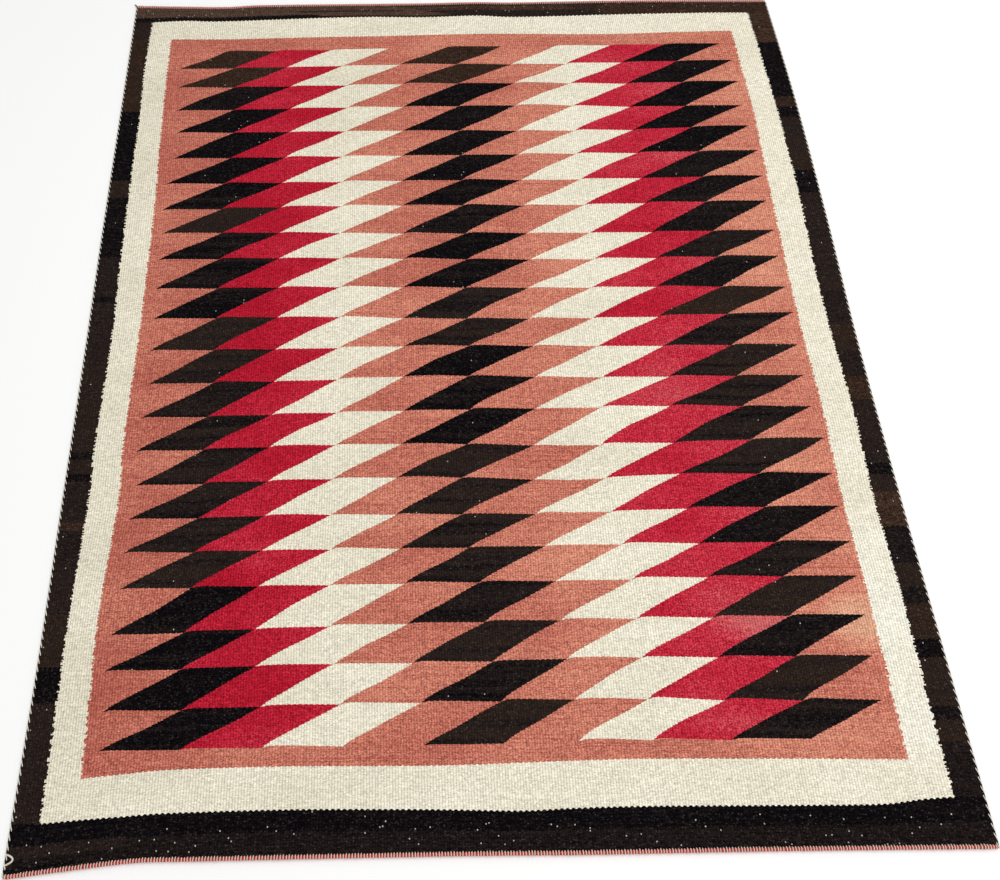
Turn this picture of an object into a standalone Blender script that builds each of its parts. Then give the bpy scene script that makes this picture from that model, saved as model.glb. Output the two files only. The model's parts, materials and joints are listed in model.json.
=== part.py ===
"""Hand-woven wool rug with a stacked parallelogram pattern, lying flat.

The rug is a weft-faced tapestry web. A twined red cord closes each end, where the warps turn, and an
undyed cord runs along each side, where the wefts turn. The web was never cut: its edges wander a
few millimetres, as they left the loom, and its near left corner flares out.

Metres, +Z up. The origin is on the floor under the centre of the rug's box, +X is to the right and +Y
runs along the warps, from the near end to the far end.
"""

import math

import bpy

WEB_THICKNESS = 0.0035
WEB_EDGE_ROUND = 0.0006
WEB_EDGE_STEPS = 2

END_CORD_DIAMETER = 0.0036
SIDE_CORD_DIAMETER = 0.0036
CORD_SIDES_SETTING = 2
SEAT_GAP = 0.0003
FLOOR_CLEARANCE = 0.0001

POINT_SPACING = 0.04
WELD_DISTANCE = 0.0001
LEVEL_ANGLE = math.radians(0.02)

# The outer line of the side cords. Columns: place along the warps y, left side x, right side x.
SIDE_STATIONS = (
    (-0.771, -0.600, 0.6153),
    (-0.515, -0.599, 0.610),
    (-0.265, -0.602, 0.605),
    (-0.015, -0.605, 0.602),
    (0.235, -0.609, 0.604),
    (0.515, -0.612, 0.602),
    (0.771, -0.615, 0.593),
)

# The outer line of the end cords. Columns: place across the warps x, near end y, far end y.
END_STATIONS = (
    (-0.615, -0.7728, 0.771),
    (-0.528, -0.763, 0.767),
    (-0.440, -0.7545, 0.764),
    (-0.380, -0.754, 0.7675),
    (-0.060, -0.753, 0.7655),
    (0.040, -0.7535, 0.7665),
    (0.100, -0.754, 0.764),
    (0.340, -0.7535, 0.7645),
    (0.615, -0.755, 0.759),
)
LEFT, RIGHT = 1, 2
NEAR, FAR = 1, 2

WOOL_ROUGHNESS = 0.9
WEB_COLOUR = (0.40, 0.22, 0.16)
RED_CORD_COLOUR = (0.52, 0.07, 0.05)
WHITE_CORD_COLOUR = (0.74, 0.70, 0.58)


def clear_scene():
    for obj in list(bpy.data.objects):
        bpy.data.objects.remove(obj)


def wool(name, colour):
    material = bpy.data.materials.new(name)
    material.use_nodes = True
    shader = material.node_tree.nodes["Principled BSDF"]
    shader.inputs["Base Color"].default_value = (*colour, 1.0)
    shader.inputs["Roughness"].default_value = WOOL_ROUGHNESS
    shader.inputs["Metallic"].default_value = 0.0
    material.diffuse_color = (*colour, 1.0)
    return material


def edge_at(stations, column, place):
    """The edge's line at a place, on a smooth curve through the stations."""
    places = [row[0] for row in stations]
    values = [row[column] for row in stations]
    last = len(stations) - 1
    place = min(max(place, places[0]), places[last])
    i = max(k for k in range(last) if places[k] <= place)

    def slope(k):
        before, after = max(k - 1, 0), min(k + 1, last)
        return (values[after] - values[before]) / (places[after] - places[before])

    span = places[i + 1] - places[i]
    t = (place - places[i]) / span
    rise = values[i + 1] - values[i]
    start_pull = slope(i) * span - rise
    end_pull = rise - slope(i + 1) * span
    return values[i] + t * rise + t * (1 - t) * ((1 - t) * start_pull + t * end_pull)


def side_x(column, y, inset):
    x = edge_at(SIDE_STATIONS, column, y)
    return x + inset if column == LEFT else x - inset


def end_y(column, x, inset):
    y = edge_at(END_STATIONS, column, x)
    return y + inset if column == NEAR else y - inset


def corner(side, end, side_inset, end_inset):
    """Where a side line and an end line meet, found by going to and fro between them."""
    x = side_x(side, 0.0, side_inset)
    for _ in range(6):
        y = end_y(end, x, end_inset)
        x = side_x(side, y, side_inset)
    return x, y


def places_between(start, stop):
    """The two ends and the multiples of the point spacing between them, so that the web's edge and
    the cord along it bend at the same places."""
    first = int((start / POINT_SPACING) // 1) + 1
    last = int((stop / POINT_SPACING) // 1)
    inner = [k * POINT_SPACING for k in range(first, last + 1)]
    room = POINT_SPACING / 3
    return [start, *(p for p in inner if start + room < p < stop - room), stop]


def end_line(end, inset, x_left, x_right):
    return [(x, end_y(end, x, inset)) for x in places_between(x_left, x_right)]


def side_line(side, inset, y_near, y_far):
    return [(side_x(side, y, inset), y) for y in places_between(y_near, y_far)]


def web_outline():
    """The web's own edge, inside the cords, as a closed loop of points."""
    side_inset = SIDE_CORD_DIAMETER + SEAT_GAP
    end_inset = END_CORD_DIAMETER + SEAT_GAP
    near_left = corner(LEFT, NEAR, side_inset, end_inset)
    near_right = corner(RIGHT, NEAR, side_inset, end_inset)
    far_right = corner(RIGHT, FAR, side_inset, end_inset)
    far_left = corner(LEFT, FAR, side_inset, end_inset)
    near = end_line(NEAR, end_inset, near_left[0], near_right[0])
    right = side_line(RIGHT, side_inset, near_right[1], far_right[1])
    far = end_line(FAR, end_inset, far_left[0], far_right[0])
    left = side_line(LEFT, side_inset, near_left[1], far_left[1])
    return near[:-1] + right[:-1] + far[:0:-1] + left[:0:-1]


def web(collection):
    """The woven web: a flat outline given its thickness, with its rim rounded over."""
    points = web_outline()
    curve = bpy.data.curves.new("rug_web", "CURVE")
    curve.dimensions = "2D"
    curve.fill_mode = "BOTH"
    curve.extrude = WEB_THICKNESS / 2
    spline = curve.splines.new("POLY")
    spline.points.add(len(points) - 1)
    for point, (x, y) in zip(spline.points, points):
        point.co = (x, y, 0.0, 1.0)
    spline.use_cyclic_u = True
    obj = bpy.data.objects.new("rug_web", curve)
    collection.objects.link(obj)
    obj.location.z = WEB_THICKNESS / 2
    curve.materials.append(wool("patterned_wool", WEB_COLOUR))
    weld = obj.modifiers.new("weld", "WELD")
    weld.merge_threshold = WELD_DISTANCE
    faces = obj.modifiers.new("one_face_each_side", "DECIMATE")
    faces.decimate_type = "DISSOLVE"
    faces.angle_limit = LEVEL_ANGLE
    rim = obj.modifiers.new("rim", "BEVEL")
    rim.width = WEB_EDGE_ROUND
    rim.segments = WEB_EDGE_STEPS
    rim.limit_method = "ANGLE"
    return obj


def cord(collection, name, path, diameter, material):
    """A round cord on the floor along a path of x, y points, with its two ends closed."""
    curve = bpy.data.curves.new(name, "CURVE")
    curve.dimensions = "3D"
    curve.bevel_depth = diameter / 2
    curve.bevel_resolution = CORD_SIDES_SETTING
    curve.use_fill_caps = True
    spline = curve.splines.new("POLY")
    spline.points.add(len(path) - 1)
    for point, (x, y) in zip(spline.points, path):
        point.co = (x, y, 0.0, 1.0)
    curve.materials.append(material)
    obj = bpy.data.objects.new(name, curve)
    collection.objects.link(obj)
    obj.location.z = diameter / 2 + FLOOR_CLEARANCE
    weld = obj.modifiers.new("weld", "WELD")
    weld.merge_threshold = WELD_DISTANCE
    return obj


def side_cord(collection, name, side, material):
    """An undyed cord along one side, from corner to corner of the rug."""
    centre_inset = SIDE_CORD_DIAMETER / 2
    y_near = corner(side, NEAR, centre_inset, 0.0)[1]
    y_far = corner(side, FAR, centre_inset, 0.0)[1]
    path = side_line(side, centre_inset, y_near, y_far)
    return cord(collection, name, path, SIDE_CORD_DIAMETER, material)


def end_cord(collection, name, end, material):
    """A red cord along one end, seated between the two side cords."""
    centre_inset = END_CORD_DIAMETER / 2
    stop_inset = SIDE_CORD_DIAMETER + 2 * SEAT_GAP
    x_left = corner(LEFT, end, stop_inset, centre_inset)[0]
    x_right = corner(RIGHT, end, stop_inset, centre_inset)[0]
    path = end_line(end, centre_inset, x_left, x_right)
    return cord(collection, name, path, END_CORD_DIAMETER, material)


def build():
    clear_scene()
    collection = bpy.data.collections.new("navajo_rug")
    bpy.context.scene.collection.children.link(collection)
    web(collection)
    red = wool("red_cord_wool", RED_CORD_COLOUR)
    white = wool("white_cord_wool", WHITE_CORD_COLOUR)
    end_cord(collection, "end_cord_near", NEAR, red)
    end_cord(collection, "end_cord_far", FAR, red)
    side_cord(collection, "side_cord_left", LEFT, white)
    side_cord(collection, "side_cord_right", RIGHT, white)


build()
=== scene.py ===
"""The looks of the hand-woven rug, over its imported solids.

The web is woven rib by rib from the charts below. Two red strands are twined along each end around
the loops of the warps, and two undyed strands wind along each side around the outermost rib.

Metres in the part's frame, except the charts and the attributes that the wool reads, which are in
millimetres and ribs. +X is to the right, +Y runs along the warps to the far end and +Z is up.
"""

import json
import math
import random

import bpy
from mathutils import Euler, Matrix, Vector, noise

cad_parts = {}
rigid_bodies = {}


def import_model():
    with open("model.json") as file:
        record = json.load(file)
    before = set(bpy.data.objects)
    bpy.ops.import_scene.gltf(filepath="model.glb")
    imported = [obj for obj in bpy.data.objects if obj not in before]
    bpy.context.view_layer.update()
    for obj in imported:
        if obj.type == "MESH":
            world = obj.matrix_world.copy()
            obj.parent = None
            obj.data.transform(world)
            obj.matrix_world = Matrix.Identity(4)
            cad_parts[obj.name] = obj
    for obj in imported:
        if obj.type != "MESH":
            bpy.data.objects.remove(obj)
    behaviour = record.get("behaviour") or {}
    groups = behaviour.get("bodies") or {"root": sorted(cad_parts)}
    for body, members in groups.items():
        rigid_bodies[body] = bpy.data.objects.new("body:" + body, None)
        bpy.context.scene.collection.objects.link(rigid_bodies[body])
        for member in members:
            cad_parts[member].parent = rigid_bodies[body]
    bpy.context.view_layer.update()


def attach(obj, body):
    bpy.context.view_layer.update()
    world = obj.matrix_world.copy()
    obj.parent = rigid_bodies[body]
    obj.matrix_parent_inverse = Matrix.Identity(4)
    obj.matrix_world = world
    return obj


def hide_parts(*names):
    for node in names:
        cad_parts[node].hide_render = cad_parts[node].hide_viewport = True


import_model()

bl_info = {
    "name": "Hand-woven Rug",
    "version": (1, 0, 0),
    "blender": (4, 5, 0),
    "location": "3D View > Sidebar > Rug",
    "description": "Weaves the visible rug over its packed solids and sets a plain stage for it",
    "category": "Add Mesh",
}

MM = 0.001
SEED = 23

# The rug's outer line, as in its solids. Columns: y, left side x, right side x (metres).
SIDE_STATIONS = (
    (-0.771, -0.600, 0.6153),
    (-0.515, -0.599, 0.610),
    (-0.265, -0.602, 0.605),
    (-0.015, -0.605, 0.602),
    (0.235, -0.609, 0.604),
    (0.515, -0.612, 0.602),
    (0.771, -0.615, 0.593),
)
# Columns: x, near end y, far end y (metres).
END_STATIONS = (
    (-0.615, -0.7728, 0.771),
    (-0.528, -0.763, 0.767),
    (-0.440, -0.7545, 0.764),
    (-0.380, -0.754, 0.7675),
    (-0.060, -0.753, 0.7655),
    (0.040, -0.7535, 0.7665),
    (0.100, -0.754, 0.764),
    (0.340, -0.7535, 0.7645),
    (0.615, -0.755, 0.759),
)
LEFT, RIGHT = 1, 2
NEAR, FAR = 1, 2

# Where the borders run along the warps. Columns: y, then x of the ivory border's outer and inner
# line on the left, and of its inner and outer line on the right (mm).
WARP_LINES = (
    (725, -578, -539, 512, 553),
    (622, -580, -538, 516, 558),
    (465, -575, -534, 521, 564),
    (295, -573, -527, 518.5, 566),
    (131, -569, -524, 517, 562),
    (13, -565, -523, 517, 562),
    (-163, -566, -524, 522, 568),
    (-273, -563, -520, 520, 565),
    (-435, -566, -526, 525, 571),
    (-595, -564, -521, 527, 572),
    (-755, -562, -519, 528, 576),
)
# The ribs on which the side edges and those four lines fall.
LINE_RIBS = (0, 10, 22, 309, 321, 332)
RIB_COUNT = LINE_RIBS[-1]

# The borders' lines across the warps. Columns: x, y (mm).
IVORY_FAR = ((-580, 724), (-513, 727), (-463, 724), (-363, 726), (-263, 729), (-163, 730), (-63, 727),
             (37, 729), (97, 724), (187, 724), (287, 726), (487, 727), (560, 725))
GROUND_FAR = ((-540, 677), (-413, 675), (-263, 677), (-163, 677), (37, 679), (287, 673), (387, 675),
              (520, 677))
GROUND_NEAR = ((-520, -655), (-463, -650), (-413, -646), (-263, -644), (-63, -646), (97, -643),
               (187, -642), (387, -645), (520, -648))
IVORY_NEAR = ((-565, -708), (-513, -704), (-463, -701), (-413, -698), (-263, -696), (-163, -697),
              (-63, -699), (37, -702), (97, -700), (187, -699), (393, -701), (487, -701), (537, -696),
              (575, -694))
IVORY_FAR_LEVEL = 727
GROUND_FAR_LEVEL = 676
GROUND_NEAR_LEVEL = -646
IVORY_NEAR_LEVEL = -700

# The lines between the rows of parallelograms, from the far one to the near one: y (mm).
ROW_LINES = (642, 599.4, 549, 492.6, 435.5, 377.7, 320, 266.4, 206.8, 154.6, 96.2, 37.2, -18.3, -75.2,
             -132.3, -188.1, -243.7, -298.7, -351.4, -403.4, -459.2, -513.6, -567.5, -620)
ROW_COUNT = len(ROW_LINES) - 1
# How far each row line sags towards the near end. Columns: row line, then the sag at node 0.5, 2.5,
# 4.5, 6.5, 8 and 9.5 across (mm).
ROW_SAG = (
    (0, 0.5, 1, -3, -3, -1, -1.5),
    (1, 2, 0, -1.5, 4, 2, -0.5),
    (2, 0, 0, -2, 1, 6, 3.5),
    (3, -0.5, -2, -1, -1, 7, 7),
    (4, -3, -2.5, -1, 5, 6, -1),
    (5, -1.5, -1, 0, 1, 2.5, -0.5),
    (6, -1.5, -0.5, -1, 2, 1.5, -0.5),
    (7, 2, -1.5, 0.5, 5, 3, 1),
    (8, -8.5, -5, 2, 4, 5.5, 4.5),
    (9, -5, -5, 2, 7, 7, 6),
    (10, -4.5, -4.5, 0.5, 5, 6, 9),
    (11, -5.5, -6, 2, 5.5, 5, 0),
    (12, -1.5, -1, -3.5, 2, 4, 5),
    (13, 1.5, 0, -6, 1.5, 3, 4),
    (14, 4.5, 0.5, -2, -2, -2.5, 1.5),
    (15, 5, -1.5, -1, 6.5, 4, -1),
    (16, 4.5, -1, -2.5, 7, -1, 2),
    (17, 3, -1, 2.5, 4, -0.5, -1.5),
    (18, 2, -0.5, 1.5, -0.5, 0, 0),
    (19, 2, 0.5, 0.5, 0, -1.5, -1),
    (20, 10.5, 4, 1.5, -0.5, 0, -1),
    (21, 6, 0, 1.5, -2.5, 0, 0.5),
    (22, 5.5, -0.5, 0, -2, 3, 5.5),
    (23, 2, 0.5, 1, -1.5, 1, 1),
)
SAG_NODES = (0.5, 2.5, 4.5, 6.5, 8, 9.5)

# The nodes, where a row line meets the slanting sides, stand this far apart from the first one.
FIRST_NODE = -509
NODE_SPACING = 101.8
NODE_COUNT = 10
# How far the nodes wander to the right. Columns: row, then the drift at node 0.5, 2.5, 5, 7.5 and
# 9.5 across (mm).
NODE_DRIFT = (
    (0, -24, -36, -21, -23, -22),
    (0.5, -10, -23, -9, -12, -14),
    (1.5, -5, -6, -2, -6, 2),
    (2.5, -6, 0, -5, -2, -7),
    (3.5, 2, 0, -4, -4, -4),
    (4.5, 4, -4, -5, -7, 2),
    (5.5, 2, -9, -5, -7, 7),
    (6.5, -8, -6, -6, -3, 0),
    (7.5, 0, -7, -4, -3, 0),
    (8.5, 2, -8, -3, 4, 3),
    (9.5, -1, -4, -3, -1, -4),
    (10.5, 5, -5, -10, -13, 4),
    (11.5, 4, -2, -4, -11, -1),
    (12.5, 9, -7, -7, -9, -3),
    (13.5, 11, -2, -8, -8, -4),
    (14.5, 1, -5, -10, -22, 0),
    (15.5, 10, -2, -21, -20, 10),
    (16.5, 10, -6, -26, -17, 3),
    (17.5, 5, -4, -25, -11, 8),
    (18.5, 7, -8, -11, 3, 10),
    (19.5, 7, -9, -2, 3, 6),
    (20.5, -1, -7, 1, 1, 6),
    (21.5, 4, 3, 14, 1, 2),
    (22.5, 7, 14, 17, 1, 4),
)
DRIFT_NODES = (0.5, 2.5, 5, 7.5, 9.5)
# The wefts arch over each figure: by how much (mm), and the shares of the figure's width in which the
# arch rises and after which it falls.
ARCH_LEAST, ARCH_MOST = 0.8, 3.4
ARCH_RISE, ARCH_FALL = 0.14, 0.25
# The slants bow a little halfway between two row lines: by how much (nodes), and how fast the bow changes
# across and along the rug.
SLANT_SWELL = 0.02
SWELL_PER_NODE, SWELL_PER_ROW = 5.1, 2.3

# The web's own edges inside the rug's outer line, and the width in which its two ends thin out (metres),
# and the share of its thickness that is left at their rims and in the outermost ribs.
WEB_SIDE_INSET = 0.0005
WEB_END_INSET = 0.0032
EDGE_ROUND_WIDTH = 0.0014
RIM_SHARE = 0.65
EDGE_RIB_SHARE = 0.62
# Where the rims lie in the weave (mm).
NEAR_RIM_LEVEL, FAR_RIM_LEVEL = -750.0, 762.0
# How far the web lies off the floor at most, the size of its waves, and the margin along its edges in
# which they die out (metres).
UNDULATION = 0.0010
UNDULATION_SIZE = 0.16
UNDULATION_MARGIN = 0.09

# Dye lots of the dark wool: 0 is blue-black, 1 is taupe. Columns: y of the band's far edge (mm), shade.
LEFT_SIDE_LOTS = (
    (735, 0.46), (680, 0.65), (495, 0.02), (332, 0.52), (295, 0.08), (168, 0.32), (88, 0.12),
    (75, 0.40), (-38, 0.48), (-182, 0.10), (-198, 0.52), (-222, 0.10), (-232, 0.36), (-298, 0.74),
    (-308, 0.30), (-365, 0.42), (-430, 0.58), (-505, 0.02), (-550, 0.44), (-602, 0.40),
)
RIGHT_SIDE_LOTS = (
    (735, 0.76), (648, 0.02), (512, 0.66), (492, 0.03), (463, 0.40), (412, 0.54), (332, 0.05),
    (288, 0.38), (118, 0.50), (88, 0.30), (22, 0.60), (-25, 0.30), (-75, 0.70), (-115, 0.40),
    (-228, 0.10), (-245, 0.50), (-275, 0.76), (-325, 0.20), (-382, 0.50), (-418, 0.20), (-445, 0.64),
    (-490, 0.05), (-515, 0.50), (-575, 0.12), (-592, 0.58), (-625, 0.22),
)
# Dark wool of the two end borders. Columns: first rib, last rib, near y, far y (mm), shade.
END_BORDER_LOTS = (
    (-99, 999, 700, 800, 0.72),
    (-99, 152, 700, 800, 0.98),
    (-99, 86, 700, 737.5, 0.10),
    (86, 152, 700, 732, 0.30),
    (85, 141, 743.5, 747, 0.45),
    (152, 234, 745, 757, 0.84),
    (152, 234, 757, 800, 0.20),
    (152, 234, 700, 745, 0.40),
    (-99, 999, -800, -600, 0.20),
    (-99, 999, -724, -600, 0.03),
    (-99, 40, -735, -722, 0.38),
    (-99, 24, -800, -742, 0.06),
)
BORDER_START, BORDER_STOP = -770.0, 770.0
# The ends of those bands are ragged by this many ribs. At the far end they lean, by this many ribs for
# each mm beyond this y.
BAND_RAGGEDNESS = 14.0
FAR_BAND_LEAN, FAR_BAND_LEVEL = 1.1, 745.0

# The dark figures, in rows from the far end. The first rows are brown except in the last column, the rest
# of the black rows keep only a share of their brown, and the last column is browner from one row on.
MIDDLE_COLUMN, LAST_COLUMN = 4.0, 8.0
BROWN_ROWS, BROWN_ROWS_SHADE = 2.0, 0.70
BLACK_ROWS, BLACK_ROWS_SHARE = 6.0, 0.25
BROWNER_FROM_ROW, BROWNER_BY = 5.0, 0.12
BROWNEST_LOT = 0.52

# How far the lines across the warps wave with the ribs (mm): the ivory border's, the ground's and the
# rows'. The mean height of a row turns the last one into rows.
SCALLOP = 0.9
GROUND_SCALLOP = 0.55
ROW_SCALLOP = 0.35
MEAN_ROW_HEIGHT = 55.0
# At each rib a slant steps by a share of the rib's width (mm).
STEP_SHARE = 0.55
RIB_WIDTH = 3.64
# The teeth along the borders' side lines: their length (mm) and depth (ribs).
TOOTH_LENGTH = 1.9
TOOTH_DEPTH = 1.2
# The lengths of one pick, one fleck of colour and one white speck along the warps (mm), and how far the
# flecks and specks are staggered from rib to rib.
PICK_HEIGHT = 1.55
FLECK_HEIGHT = 1.1
SPECK_HEIGHT = 1.5
STAGGER = 0.37
# The share of the dark wool's places that show a white speck, how many more do so beyond these levels
# near the two ends (mm), and how strong a speck is.
SPECK_SHARE = 0.0012
NEAR_SPECK_LEVEL, NEAR_SPECK_SHARE = -715.0, 0.009
FAR_SPECK_LEVEL, FAR_SPECK_SHARE = 735.0, 0.007
SPECK_STRENGTH = 0.6
# How much paler the wools are at the right side than at the left one: partly real fading of the wools,
# partly painted light and sheen towards the right.
FADE_AND_PAINTED_LIGHT = 0.16
# The spots where the dyes have faded or bled. Columns: rib, y (mm), reach across (ribs) and along (mm).
FADED_GROUND = (304.0, -468.0, 16.0, 42.0)
BLED_RED = (268.0, -470.0, 22.0, 30.0)
# The near part of the right ivory border is whiter: the y where this starts and ends, and the length in
# which it comes and goes (mm).
WHITE_FROM, WHITE_FROM_SOFTNESS = -250.0, 200.0
WHITE_TO, WHITE_TO_SOFTNESS = -690.0, 80.0


def shares(stations, place):
    """Which stations a place lies between, and how far along."""
    last = len(stations) - 1
    i = 0
    while i < last - 1 and (place - stations[i + 1]) * (stations[last] - stations[0]) > 0:
        i += 1
    t = (place - stations[i]) / (stations[i + 1] - stations[i])
    return i, min(max(t, 0.0), 1.0)


def smooth_at(places, values, place):
    """The value at a place, on a smooth curve through the stations, level beyond its ends."""
    last = len(places) - 1
    i, t = shares(places, place)

    def slope(k):
        before, after = max(k - 1, 0), min(k + 1, last)
        return (values[after] - values[before]) / (places[after] - places[before])

    span = places[i + 1] - places[i]
    rise = values[i + 1] - values[i]
    start_pull = slope(i) * span - rise
    end_pull = rise - slope(i + 1) * span
    return values[i] + t * rise + t * (1 - t) * ((1 - t) * start_pull + t * end_pull)


def columns_of(table):
    return tuple(zip(*table))


SIDE_COLUMNS = columns_of(SIDE_STATIONS)
END_COLUMNS = columns_of(END_STATIONS)
WARP_COLUMNS = columns_of(WARP_LINES)
SAG_COLUMNS = columns_of(ROW_SAG)
DRIFT_COLUMNS = columns_of(NODE_DRIFT)


def side_x(side, y, inset):
    x = smooth_at(SIDE_COLUMNS[0], SIDE_COLUMNS[side], y)
    return x + inset if side == LEFT else x - inset


def end_y(end, x, inset):
    y = smooth_at(END_COLUMNS[0], END_COLUMNS[end], x)
    return y + inset if end == NEAR else y - inset


def corner(side, end, side_inset, end_inset):
    """Where a side line and an end line meet, found by going to and fro between them."""
    x = side_x(side, 0.0, side_inset)
    for _ in range(6):
        y = end_y(end, x, end_inset)
        x = side_x(side, y, side_inset)
    return x, y


def line_across(points, x):
    """The y of one of the borders' lines at x, both in mm."""
    places, values = zip(*points)
    return smooth_at(places, values, x)


def rib_x(rib, y):
    """The x of a place in the row of ribs, at y along the warps, in metres."""
    i = 0
    while i < len(LINE_RIBS) - 2 and rib > LINE_RIBS[i + 1]:
        i += 1

    def line_x(k):
        if k == 0:
            return side_x(LEFT, y, WEB_SIDE_INSET)
        if k == len(LINE_RIBS) - 1:
            return side_x(RIGHT, y, WEB_SIDE_INSET)
        return smooth_at(WARP_COLUMNS[0], WARP_COLUMNS[k], y / MM) * MM

    start, stop = line_x(i), line_x(i + 1)
    return start + (stop - start) * (rib - LINE_RIBS[i]) / (LINE_RIBS[i + 1] - LINE_RIBS[i])


def table_at(columns, heads, row, place):
    """The value at a row and a place across, from a table with one column for each head."""
    i, t = shares(heads, place)
    low = smooth_at(columns[0], columns[1 + i], row)
    high = smooth_at(columns[0], columns[2 + i], row)
    return low + (high - low) * t


def node_at(x, row):
    """How many nodes from the first one the place x (mm) lies, in a row of the pattern."""
    node = (x - FIRST_NODE) / NODE_SPACING
    for _ in range(3):
        node = (x - FIRST_NODE - table_at(DRIFT_COLUMNS, DRIFT_NODES, row, node)) / NODE_SPACING
    return node


def arch(node, heights):
    """How far the wefts arch over the figure that spans the place."""
    if node <= 0 or node >= NODE_COUNT:
        return 0.0
    span, t = int(node), node % 1.0
    rise = min(t / ARCH_RISE, 1.0)
    fall = max((t - ARCH_FALL) / (1.0 - ARCH_FALL), 0.0)
    return heights[span] * rise * (2.0 - rise) * (1.0 - fall)


class Row:
    """One row of the web's points: its level in the weave, its row of the pattern, its line, and
    whether it is a rim, where the web is thinner."""

    def __init__(self, level, row, line, is_rim=False):
        self.level = level
        self.row = row
        self.line = line
        self.is_rim = is_rim


def pattern_line(row, heights):
    """The line of a whole row of the pattern, or of the middle of one, as a function of x in mm."""
    low = int(row)
    high = min(low + 1, ROW_COUNT)
    level = ROW_LINES[low] + (ROW_LINES[high] - ROW_LINES[low]) * (row - low)

    def line(x):
        node = node_at(x, row)
        sag = table_at(SAG_COLUMNS, SAG_NODES, row, node)
        lift = arch(node, heights[low])
        if row > low:
            lift = (lift + arch(node, heights[high])) / 2
        return level - sag + lift

    return level, line


def web_rows():
    """All rows of the web's points, from the near end to the far end."""
    dice = random.Random(SEED)
    heights = [[dice.uniform(ARCH_LEAST, ARCH_MOST) for _ in range(NODE_COUNT)] for _ in ROW_LINES]
    rim = EDGE_ROUND_WIDTH / MM

    def end_line(end, inset):
        return lambda x: end_y(end, x * MM, WEB_END_INSET + inset * MM) / MM

    def border_line(points):
        return lambda x: line_across(points, x)

    rows = [
        Row(NEAR_RIM_LEVEL, ROW_COUNT + 3, end_line(NEAR, 0.0), is_rim=True),
        Row(NEAR_RIM_LEVEL + rim, ROW_COUNT + 2.9, end_line(NEAR, rim)),
        Row(IVORY_NEAR_LEVEL, ROW_COUNT + 2, border_line(IVORY_NEAR)),
        Row(GROUND_NEAR_LEVEL, ROW_COUNT + 1, border_line(GROUND_NEAR)),
    ]
    for k in range(2 * ROW_COUNT, -1, -1):
        level, line = pattern_line(k / 2, heights)
        rows.append(Row(level, k / 2, line))
    rows += [
        Row(GROUND_FAR_LEVEL, -1, border_line(GROUND_FAR)),
        Row(IVORY_FAR_LEVEL, -2, border_line(IVORY_FAR)),
        Row(FAR_RIM_LEVEL - rim, -2.9, end_line(FAR, rim)),
        Row(FAR_RIM_LEVEL, -3, end_line(FAR, 0.0), is_rim=True),
    ]
    return rows


def deselect():
    for obj in bpy.context.view_layer.objects:
        obj.select_set(False)


def make_active(obj):
    deselect()
    obj.select_set(True)
    bpy.context.view_layer.objects.active = obj


def swell(x, y):
    """How far the middle of the web lies off the floor, nothing along its edges."""
    margin = min(x - side_x(LEFT, y, 0), side_x(RIGHT, y, 0) - x, y - end_y(NEAR, x, 0),
                 end_y(FAR, x, 0) - y)
    share = min(max(margin / UNDULATION_MARGIN, 0.0), 1.0)
    wave = noise.noise(Vector((x, y, 0.0)) / UNDULATION_SIZE) * 0.5 + 0.5
    return UNDULATION * share * wave


def web_points(rows, half_ribs, sizes):
    """For each place of the web: its x and y, half its thickness, its lift, and its attributes."""
    points = []
    for row in rows:
        for k in range(half_ribs + 1):
            rib = k / 2
            y = row.level * MM
            for _ in range(3):
                x = rib_x(rib, y)
                y = row.line(x / MM) * MM
            valley = k % 2 == 0
            half = sizes.thickness / 2 - (sizes.rib_relief if valley else 0.0)
            if row.is_rim:
                half *= RIM_SHARE
            if k < 2 or k > half_ribs - 2:
                half *= EDGE_RIB_SHARE
            node = node_at(x / MM, row.row)
            if row.row % 1:
                node += SLANT_SWELL * math.sin(node * SWELL_PER_NODE + row.row * SWELL_PER_ROW)
            points.append((x, y, half, swell(x, y), (rib, row.level, 0.0), (node, row.row, 0.0)))
    return points


def set_attribute(mesh, name, vectors):
    layer = mesh.attributes.new(name, "FLOAT_VECTOR", "POINT")
    layer.data.foreach_set("vector", [number for vector in vectors for number in vector])


def weave_web(sizes):
    """A grid of half ribs, made a slab and laid on its rows, with a rib on both faces at each warp."""
    rows = web_rows()
    half_ribs = 2 * RIB_COUNT
    deselect()
    bpy.ops.mesh.primitive_grid_add(x_subdivisions=half_ribs, y_subdivisions=len(rows) - 1, size=1.0)
    obj = bpy.context.active_object
    obj.name = "woven_web"
    mesh = obj.data
    mesh.name = "woven_web"
    while mesh.uv_layers:
        mesh.uv_layers.remove(mesh.uv_layers[0])
    wall = obj.modifiers.new("two_faces", "SOLIDIFY")
    wall.thickness = sizes.thickness
    wall.offset = 0.0
    make_active(obj)
    bpy.ops.object.modifier_apply(modifier=wall.name)
    points = web_points(rows, half_ribs, sizes)
    if len(mesh.vertices) != 2 * len(points):
        raise RuntimeError("the slab of the web isn't two layers of its grid")
    places, weave, chart = [], [], []
    for i, vertex in enumerate(mesh.vertices):
        x, y, half, lift, thread, figure = points[i % len(points)]
        face = 1.0 if vertex.co.z > 0.0 else -1.0
        places += (x, y, sizes.thickness / 2 + face * half + lift)
        weave.append(thread)
        chart.append(figure)
    mesh.vertices.foreach_set("co", places)
    set_attribute(mesh, "weave", weave)
    set_attribute(mesh, "chart", chart)
    bpy.ops.object.shade_smooth()
    mesh.update()
    return obj


# A strand counts as upright where its direction and +Z make a cross product shorter than this.
UPRIGHT = 0.05


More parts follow.
